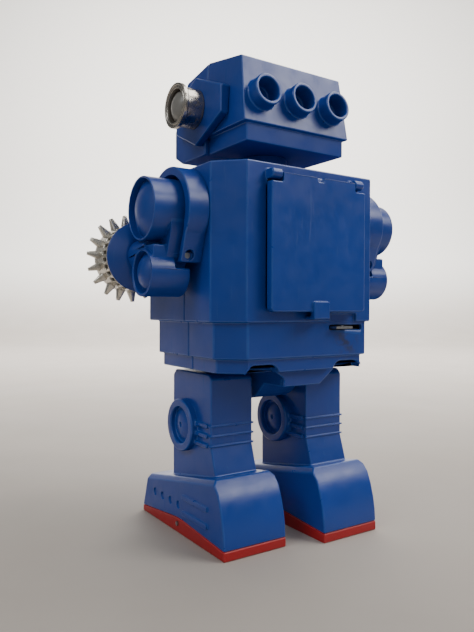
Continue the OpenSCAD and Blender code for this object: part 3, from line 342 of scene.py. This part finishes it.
def measure_room(region, creased, room):
    """Room beside each creased edge of a flat region: how far inwards the next creased edge lies beside it.

    Each edge looks over a strip as long as itself, square to it and inwards. Every other crease that shares no
    corner with it is cut off at the strip's ends, and the nearest point left gives the room.
    """
    sides = [loop for face in region for loop in face.loops if creased[loop.edge.index]]
    if not sides:
        return
    start = np.array([loop.vert.co for loop in sides])
    end = np.array([loop.link_loop_next.vert.co for loop in sides])
    names = np.array([(loop.vert.index, loop.link_loop_next.vert.index) for loop in sides])
    normal = np.array(region[0].normal)
    for k, loop in enumerate(sides):
        run = end[k] - start[k]
        length = max(np.linalg.norm(run), 1e-9)
        ahead = run / length
        inward = np.cross(normal, ahead)
        others = ~((names == names[k, 0]) | (names == names[k, 1])).any(1)
        a, b = start[others] - start[k], end[others] - start[k]
        reach = 0.05
        if len(a):
            x0, x1 = a @ ahead, b @ ahead
            y0, y1 = a @ inward, b @ inward
            span = np.where(np.abs(x1 - x0) < 1e-9, 1e-9, x1 - x0)
            t0 = np.clip((0.02 * length - x0) / span, 0, 1)
            t1 = np.clip((0.98 * length - x0) / span, 0, 1)
            beside = (np.maximum(x0, x1) > 0.02 * length) & (np.minimum(x0, x1) < 0.98 * length)
            depth = np.stack([y0 + (y1 - y0) * t0, y0 + (y1 - y0) * t1])
            depth = np.where(depth > 1e-6, depth, 1.0).min(0)
            if beside.any():
                reach = min(reach, float(depth[beside].min()))
        key = loop.edge.index
        room[key] = min(room.get(key, 1.0), reach)


def smooth_chains(bm, creased, bend=35.0):
    """Runs of creased edges that follow each other with little bend, as lists of edge numbers."""
    parent = {e.index: e.index for e in bm.edges if creased[e.index]}

    def top(k):
        while parent[k] != k:
            parent[k] = parent[parent[k]]
            k = parent[k]
        return k

    for corner in bm.verts:
        lines = [e for e in corner.link_edges if creased[e.index]]
        if len(lines) == 2:
            arms = [(e.other_vert(corner).co - corner.co).normalized() for e in lines]
            if arms[0].dot(arms[1]) < -math.cos(math.radians(bend)):
                parent[top(lines[0].index)] = top(lines[1].index)
    chains = {}
    for k in parent:
        chains.setdefault(top(k), []).append(k)
    return chains.values()


def grid_mesh(name, points, closed_columns=True):
    """Mesh of a grid of points, rows by columns by 3; columns may close on themselves. Equal points are merged."""
    rows, columns = points.shape[:2]
    r = np.arange(rows - 1)[:, None]
    c = np.arange(columns if closed_columns else columns - 1)[None, :]
    after = (c + 1) % columns
    quads = np.stack([r * columns + c, r * columns + after, (r + 1) * columns + after, (r + 1) * columns + c], -1)
    mesh = bpy.data.meshes.new(name)
    mesh.from_pydata(points.reshape(-1, 3).tolist(), [], quads.reshape(-1, 4).tolist())
    bm = bmesh.new()
    bm.from_mesh(mesh)
    bmesh.ops.remove_doubles(bm, verts=bm.verts, dist=0.001 * MM)
    bmesh.ops.recalc_face_normals(bm, faces=bm.faces)
    bm.to_mesh(mesh)
    bm.free()
    return mesh


def filleted(corners, radius, steps=4):
    """A profile with rounded inner corners: each becomes a quadratic curve that starts and ends radius away."""
    corners = np.array(corners, float)
    t = np.linspace(0, 1, steps + 1)[:, None]
    runs = [corners[:1]]
    for before, corner, after in zip(corners[:-2], corners[1:-1], corners[2:]):
        back, ahead = before - corner, after - corner
        reach = min(radius, 0.45 * np.linalg.norm(back), 0.45 * np.linalg.norm(ahead))
        start = corner + back / np.linalg.norm(back) * reach
        end = corner + ahead / np.linalg.norm(ahead) * reach
        runs.append((1 - t) ** 2 * start + 2 * t * (1 - t) * corner + t ** 2 * end)
    runs.append(corners[-1:])
    return np.concatenate(runs)


def turned(name, profile, axis, centre, finish, steps=96, shape=None):
    """A surface of revolution: profile rows are (radius, place along the axis) in mm from centre.

    Column k stands at angle 2 pi k / steps; shape(angle, radius, along), where given, returns new radii.
    """
    angle = np.linspace(0, 2 * math.pi, steps, endpoint=False)[None, :]
    radius = np.repeat(profile[:, :1], steps, 1)
    along = np.repeat(profile[:, 1:2], steps, 1)
    if shape:
        radius = shape(angle, radius, along)
    u = radius * np.cos(angle)
    v = radius * np.sin(angle)
    order = {"X": (along, u, v), "-X": (-along, u, v), "Y": (u, along, v)}[axis]
    points = np.stack(order, -1) * MM + np.array(centre)
    return smooth_object(name, grid_mesh(name, points), finish)


def joined(name, pieces):
    """One object out of several, first one's materials kept."""
    bm = bmesh.new()
    for piece in pieces:
        bm.from_mesh(piece.data)
    mesh = bpy.data.meshes.new(name)
    bm.to_mesh(mesh)
    bm.free()
    finishes = list(pieces[0].data.materials)
    for piece in pieces:
        bpy.data.objects.remove(piece)
    return smooth_object(name, mesh, *finishes)


# ---------- Moulded shells ----------

# rounding radius of each shell's edges, in mm
SHELLS = {
    "torso_rear_shell": 0.8, "torso_front_shell": 0.8, "hip_housing": 0.9, "neck_collar": 0.6,
    "battery_door": 0.7, "head_rear_shell": 0.8, "head_front_shell": 0.8,
}
SIDED_SHELLS = {"ear_block": 0.9, "arm_housing": 0.8, "arm_pod": 0.8, "leg_shell": 0.9}
# level folds of a leg that turn less than this stay smooth, because the heel is one curve
HEEL_CURVE = 36.0


def mould_shells():
    """Every blue shell, and the two red soles."""
    for node, radius in SHELLS.items():
        adopt(moulded_copy(node, radius, BLUE, BLUE_LIT_WORN_EDGE), BODY_OF[node], "blue_plastic", node)
    for side in SIDES:
        for name, radius in SIDED_SHELLS.items():
            node = f"{side}_{name}"
            curve = HEEL_CURVE if name == "leg_shell" else 0.0
            adopt(moulded_copy(node, radius, BLUE, BLUE_LIT_WORN_EDGE, curve), BODY_OF[node], "blue_plastic", node)
        node = f"{side}_sole"
        adopt(moulded_copy(node, 0.7, RED, RED_LIT_WORN_EDGE), BODY_OF[node], "red_plastic", node)


# ---------- Ear lamps ----------

# radii in mm
BARREL_R = 10.2
FLANGE_R = 11.7
LENS_R = 7.3


def lamp_notch(angle, radius, along):
    """Radii of the lamp's barrel with a drain hole on its top: a pit 3.5 mm across and 2.2 mm deep."""
    off_round = (angle - math.pi / 2) * BARREL_R
    off_along = along - 6.5
    pit = np.clip((1.75 - np.hypot(off_round, off_along)) / 0.5, 0, 1)
    return np.where(np.abs(radius - BARREL_R) < 0.2, radius - 2.2 * pit, radius)


def ear_lamp(side):
    """Plated lamp: a barrel with a rolled flange, a stepped rim inside it and a domed lens behind that."""
    node = f"{side}_ear_lamp"
    low, high = extent(node)
    centre = middle(node)
    foot = low[0] if side == "left" else high[0]
    axis = "X" if side == "left" else "-X"
    barrel = [(BARREL_R, x) for x in np.linspace(0.0, 9.3, 28)]
    rim = filleted([(BARREL_R, 9.4), (FLANGE_R, 9.8), (FLANGE_R, 12.3), (10.5, 12.3), (10.1, 11.6), (9.7, 12.2),
                    (8.7, 12.2), (8.5, 9.2), (8.2, 2.0), (0.0, 2.0)], 0.5)
    profile = np.concatenate([[(0.0, 0.0), (BARREL_R, 0.0)], barrel, rim])
    # the lamp body takes the darker plating, which is painted shade
    lamp = turned(f"{side}_lamp_body", profile, axis, (foot, centre[1], centre[2]), DIMMED_LAMP_PLATING, 160, lamp_notch)
    adopt(lamp, BODY_OF[node], "worn_chrome", node)
    lens = f"{side}_lamp_lens"
    t = np.linspace(0, 1, 22)
    # the lens bulges like a flattened sphere: its height falls as the 2.3 power of the radius
    bulge = np.stack([LENS_R * t, 12.9 - 2.6 * t ** 2.3], -1)
    seat = filleted([(LENS_R, 10.3), (7.4, 9.4), (8.3, 9.3), (8.3, 8.3), (0.0, 8.3)], 0.3)
    profile = np.concatenate([bulge, seat[1:]])
    dome = turned(f"{side}_lamp_dome", profile, axis, (foot, centre[1], centre[2]), LENS, 96)
    adopt(dome, BODY_OF[lens], "worn_chrome", lens)


# ---------- Forearm bells and hands ----------

SPIKES = 18
# the first spike's angle above level, in degrees
SPIKE_TURN = 4.6
SLOTS = 30
# millimetres behind the hub's front
SPIKE_MIDDLE = 5.6
SLOT_MIDDLE = 15.7
DRUM_R = 17.3


def slot_cut(angle, radius, along):
    """Radii of the drum with its row of slots: 30 pits, 1.7 mm wide and 2.6 mm deep, just in front of the bell."""
    turn = (angle * SLOTS / (2 * math.pi)) % 1.0
    across = np.abs(turn - 0.5) * 2 * math.pi * DRUM_R / SLOTS
    inside = np.clip((0.95 - across) / 0.2, 0, 1)
    ends = np.clip((2.7 - np.abs(along - SLOT_MIDDLE)) / 0.25, 0, 1)
    return np.where(radius > DRUM_R - 0.05, radius - 2.6 * inside * ends, radius)


def spike(tip_r, rng):
    """One cast spike: a straight four-sided point, 2.3 mm half wide at the root and 0.85 mm at its blunt tip.

    Its section is a superellipse, |x|^p + |y|^p = 1 with p = 5, and it leans a little at random.
    """
    rows, columns = 7, 24
    t = np.linspace(0, 1, rows)[:, None]
    a = np.linspace(0, 2 * math.pi, columns, endpoint=False)[None, :]
    cos_a = np.sign(np.cos(a)) * np.abs(np.cos(a)) ** 0.4
    sin_a = np.sign(np.sin(a)) * np.abs(np.sin(a)) ** 0.4
    half = 2.3 + (0.85 - 2.3) * t
    root = DRUM_R - 1.0
    reach = root + (tip_r - root - rng.uniform(0, 0.3)) * t
    lean = rng.uniform(-0.3, 0.3, 2) * t
    half, reach, lean = (np.concatenate([m, m[-1:]]) for m in (half, reach, lean))
    half[-1] = 0.0
    return np.stack(np.broadcast_arrays(reach, half * cos_a + lean[:, :1], half * sin_a * 1.05 + lean[:, 1:]), -1)


def gear_hand(side):
    """Cast drum with a row of slots, a cupped front with a hub, and 18 spikes round its middle."""
    node = f"{side}_gear_hand"
    low, high = extent(node)
    centre = middle(node)
    front = low[1]
    rng = np.random.default_rng(7 if side == "left" else 11)
    deep = (high[1] - front) / MM
    drum = np.concatenate([
        filleted([(0.0, 0.0), (6.0, 0.0), (6.0, 4.6), (13.7, 5.0), (13.9, 1.6), (DRUM_R, 1.6), (DRUM_R, 10.4)], 0.5),
        [(DRUM_R, y) for y in np.linspace(11.0, deep - 0.8, 26)],
        filleted([(DRUM_R, deep - 0.7), (DRUM_R, deep), (0.0, deep)], 0.4)])
    body = turned(f"{side}_drum", drum, "Y", (centre[0], front, centre[2]), PLATING, SLOTS * 14, slot_cut)
    tip_r = (high[2] - low[2]) / 2 / MM
    spikes = []
    phase = math.radians(SPIKE_TURN)
    for k in range(SPIKES):
        grid = spike(tip_r, rng)
        angle = phase + 2 * math.pi * k / SPIKES
        if side == "right":
            angle = math.pi - angle
        out, tangent, forward = grid[..., 0], grid[..., 1], grid[..., 2]
        x = out * math.cos(angle) - tangent * math.sin(angle)
        z = out * math.sin(angle) + tangent * math.cos(angle)
        points = np.stack([x, forward + SPIKE_MIDDLE, z], -1) * MM + np.array([centre[0], front, centre[2]])
        spikes.append(smooth_object(f"spike_{k}", grid_mesh(f"spike_{k}", points), PLATING))
    hand = joined(f"{side}_spiked_hand", [body] + spikes)
    crisp_normals(hand)
    adopt(hand, BODY_OF[node], "worn_chrome", node)


def forearm_bell(side):
    """Trumpet-shaped cuff behind the hand: its radius grows as the 0.75 power of the way to the rounded rim."""
    node = f"{side}_forearm_bell"
    low, high = extent(node)
    centre = middle(node)
    length = (high[1] - low[1]) / MM
    rim_r = (high[2] - low[2]) / 2 / MM
    neck_r = 8.8
    inner_r = rim_r - 1.8
    floor = length - 0.6
    t = np.linspace(0, 1, 24)[:, None]
    flare = np.concatenate([neck_r + (rim_r - neck_r) * t ** 0.75, length - (length - 1.0) * t], 1)
    rim = filleted([flare[-1], (rim_r, 0.0), (inner_r, 0.0), (inner_r, 1.4), (7.5, floor), (0.0, floor)], 0.6)
    back = np.array([(0.0, length), (neck_r, length)])
    profile = np.concatenate([back, flare[1:], rim[1:]])
    bell = turned(f"{side}_bell", profile, "Y", (centre[0], low[1], centre[2]), BLUE, 96)
    crisp_normals(bell)
    adopt(bell, BODY_OF[node], "blue_plastic", node)


# ---------- Stage ----------

# the wall faces the camera
STAGE_YAW = 33.4


def stage():
    """Grey floor that runs up into a pale wall."""
    t = np.linspace(0, 1, 40)[:, None]
    arc = np.concatenate([-1.6 - 0.8 * np.sin(t * math.pi / 2), 0.8 - 0.8 * np.cos(t * math.pi / 2)], 1)
    profile = np.concatenate([[[2.5, 0.0]], arc, [[-2.4, 3.0]]])
    width = np.array([-3.0, 3.0])
    yaw = math.radians(STAGE_YAW)
    x = np.broadcast_to(width[None, :], (len(profile), 2))
    d = np.broadcast_to(profile[:, :1], (len(profile), 2))
    z = np.broadcast_to(profile[:, 1:], (len(profile), 2))
    points = np.stack([x * math.cos(yaw) + d * math.sin(yaw), -x * math.sin(yaw) + d * math.cos(yaw), z], -1)
    finish, coords = new_finish("stage")
    fine = put(finish, "TexNoise", {"Scale": 12.0, "Detail": 6.0}, {"Vector": (coords, "Object")})
    floor_tone = put(finish, "Mix", {"data_type": "RGBA", 6: linear("#b0a9a2"), 7: linear("#a49c94")},
                     {0: (fine, "Fac")})
    place = put(finish, "SeparateXYZ", links={"Vector": (coords, "Object")})
    risen = put(finish, "MapRange", {"From Max": 0.35, "interpolation_type": "SMOOTHSTEP"}, {"Value": (place, "Z")})
    tone = put(finish, "Mix", {"data_type": "RGBA", 7: linear("#e9e6e1")}, {0: (risen, "Result"), 6: (floor_tone, 2)})
    shader = put(finish, "BsdfPrincipled", {"Roughness": 0.8}, {"Base Color": (tone, 2)})
    close_finish(finish, shader)
    floor = smooth_object("floor", grid_mesh("floor", points, closed_columns=False), finish)


def area_light(name, place, target, size, power, colour):
    """A square soft light that faces its target."""
    data = bpy.data.lights.new(name, "AREA")
    data.shape = "RECTANGLE"
    data.size, data.size_y = size
    data.energy = power
    data.color = colour
    lamp = bpy.data.objects.new(name, data)
    lamp.location = place
    lamp.rotation_euler = (Vector(target) - Vector(place)).to_track_quat("-Z", "Y").to_euler()
    bpy.context.scene.collection.objects.link(lamp)


def lights():
    """Two ceiling lights, a high window behind the camera, weak wide fills and a wash on the far wall."""
    area_light("ceiling", (-0.55, 0.15, 1.10), (0, 0, 0.12), (0.9, 0.5), 8.5, (1.0, 0.97, 0.92))
    area_light("high_window", (-0.93, 0.98, 1.06), (0, 0, 0.12), (1.0, 0.5), 11.0, (1.0, 0.98, 0.96))
    area_light("behind_camera", (0.65, 1.2, 0.75), (0, 0, 0.12), (1.2, 0.9), 2.0, (1.0, 0.98, 0.95))
    area_light("left_ceiling", (1.10, 0.20, 1.05), (0, 0, 0.12), (0.7, 0.6), 6.0, (0.95, 0.98, 1.0))
    area_light("left_wall", (1.2, -0.15, 0.45), (0, 0, 0.12), (0.8, 1.0), 0.6, (0.95, 0.97, 1.0))
    area_light("wall_wash", (-0.5, -0.75, 1.3), (-1.2, -1.8, 0.3), (2.0, 0.6), 120.0, (1.0, 0.99, 0.97))
    world = bpy.data.worlds.new("pale_room")
    world.use_nodes = True
    background = world.node_tree.nodes["Background"]
    background.inputs["Color"].default_value = linear("#e9ecf0")
    background.inputs["Strength"].default_value = 0.20
    bpy.context.scene.world = world


def camera():
    """Camera behind the robot's left shoulder, low, looking nearly level."""
    yaw, pitch, roll = math.radians(33.41), math.radians(-0.77), math.radians(0.18)
    data = bpy.data.cameras.new("camera")
    data.lens = 34.46
    data.sensor_width = 36.0
    eye = bpy.data.objects.new("camera", data)
    forward = Vector((-math.sin(yaw) * math.cos(pitch), -math.cos(yaw) * math.cos(pitch), math.sin(pitch)))
    turn = forward.to_track_quat("-Z", "Y").to_matrix().to_4x4() @ Matrix.Rotation(roll, 4, "Z")
    eye.matrix_world = Matrix.Translation((0.19832, 0.27791, 0.12083)) @ turn
    bpy.context.scene.collection.objects.link(eye)
    bpy.context.scene.camera = eye


def finish_frame():
    """Gives every node that still shows the finish of its slot."""
    slot_of = {p["node"]: p["material_slot"] for p in frame["record"]["subparts"]}
    for name, part in NODES.items():
        if len(part.data.materials) == 0:
            part.data.materials.append(None)
        part.material_slots[0].material = FINISH_OF_SLOT[slot_of[name]]


camera()
lights()
stage()
finish_frame()
mould_shells()
for each in SIDES:
    ear_lamp(each)
    gear_hand(each)
    forearm_bell(each)
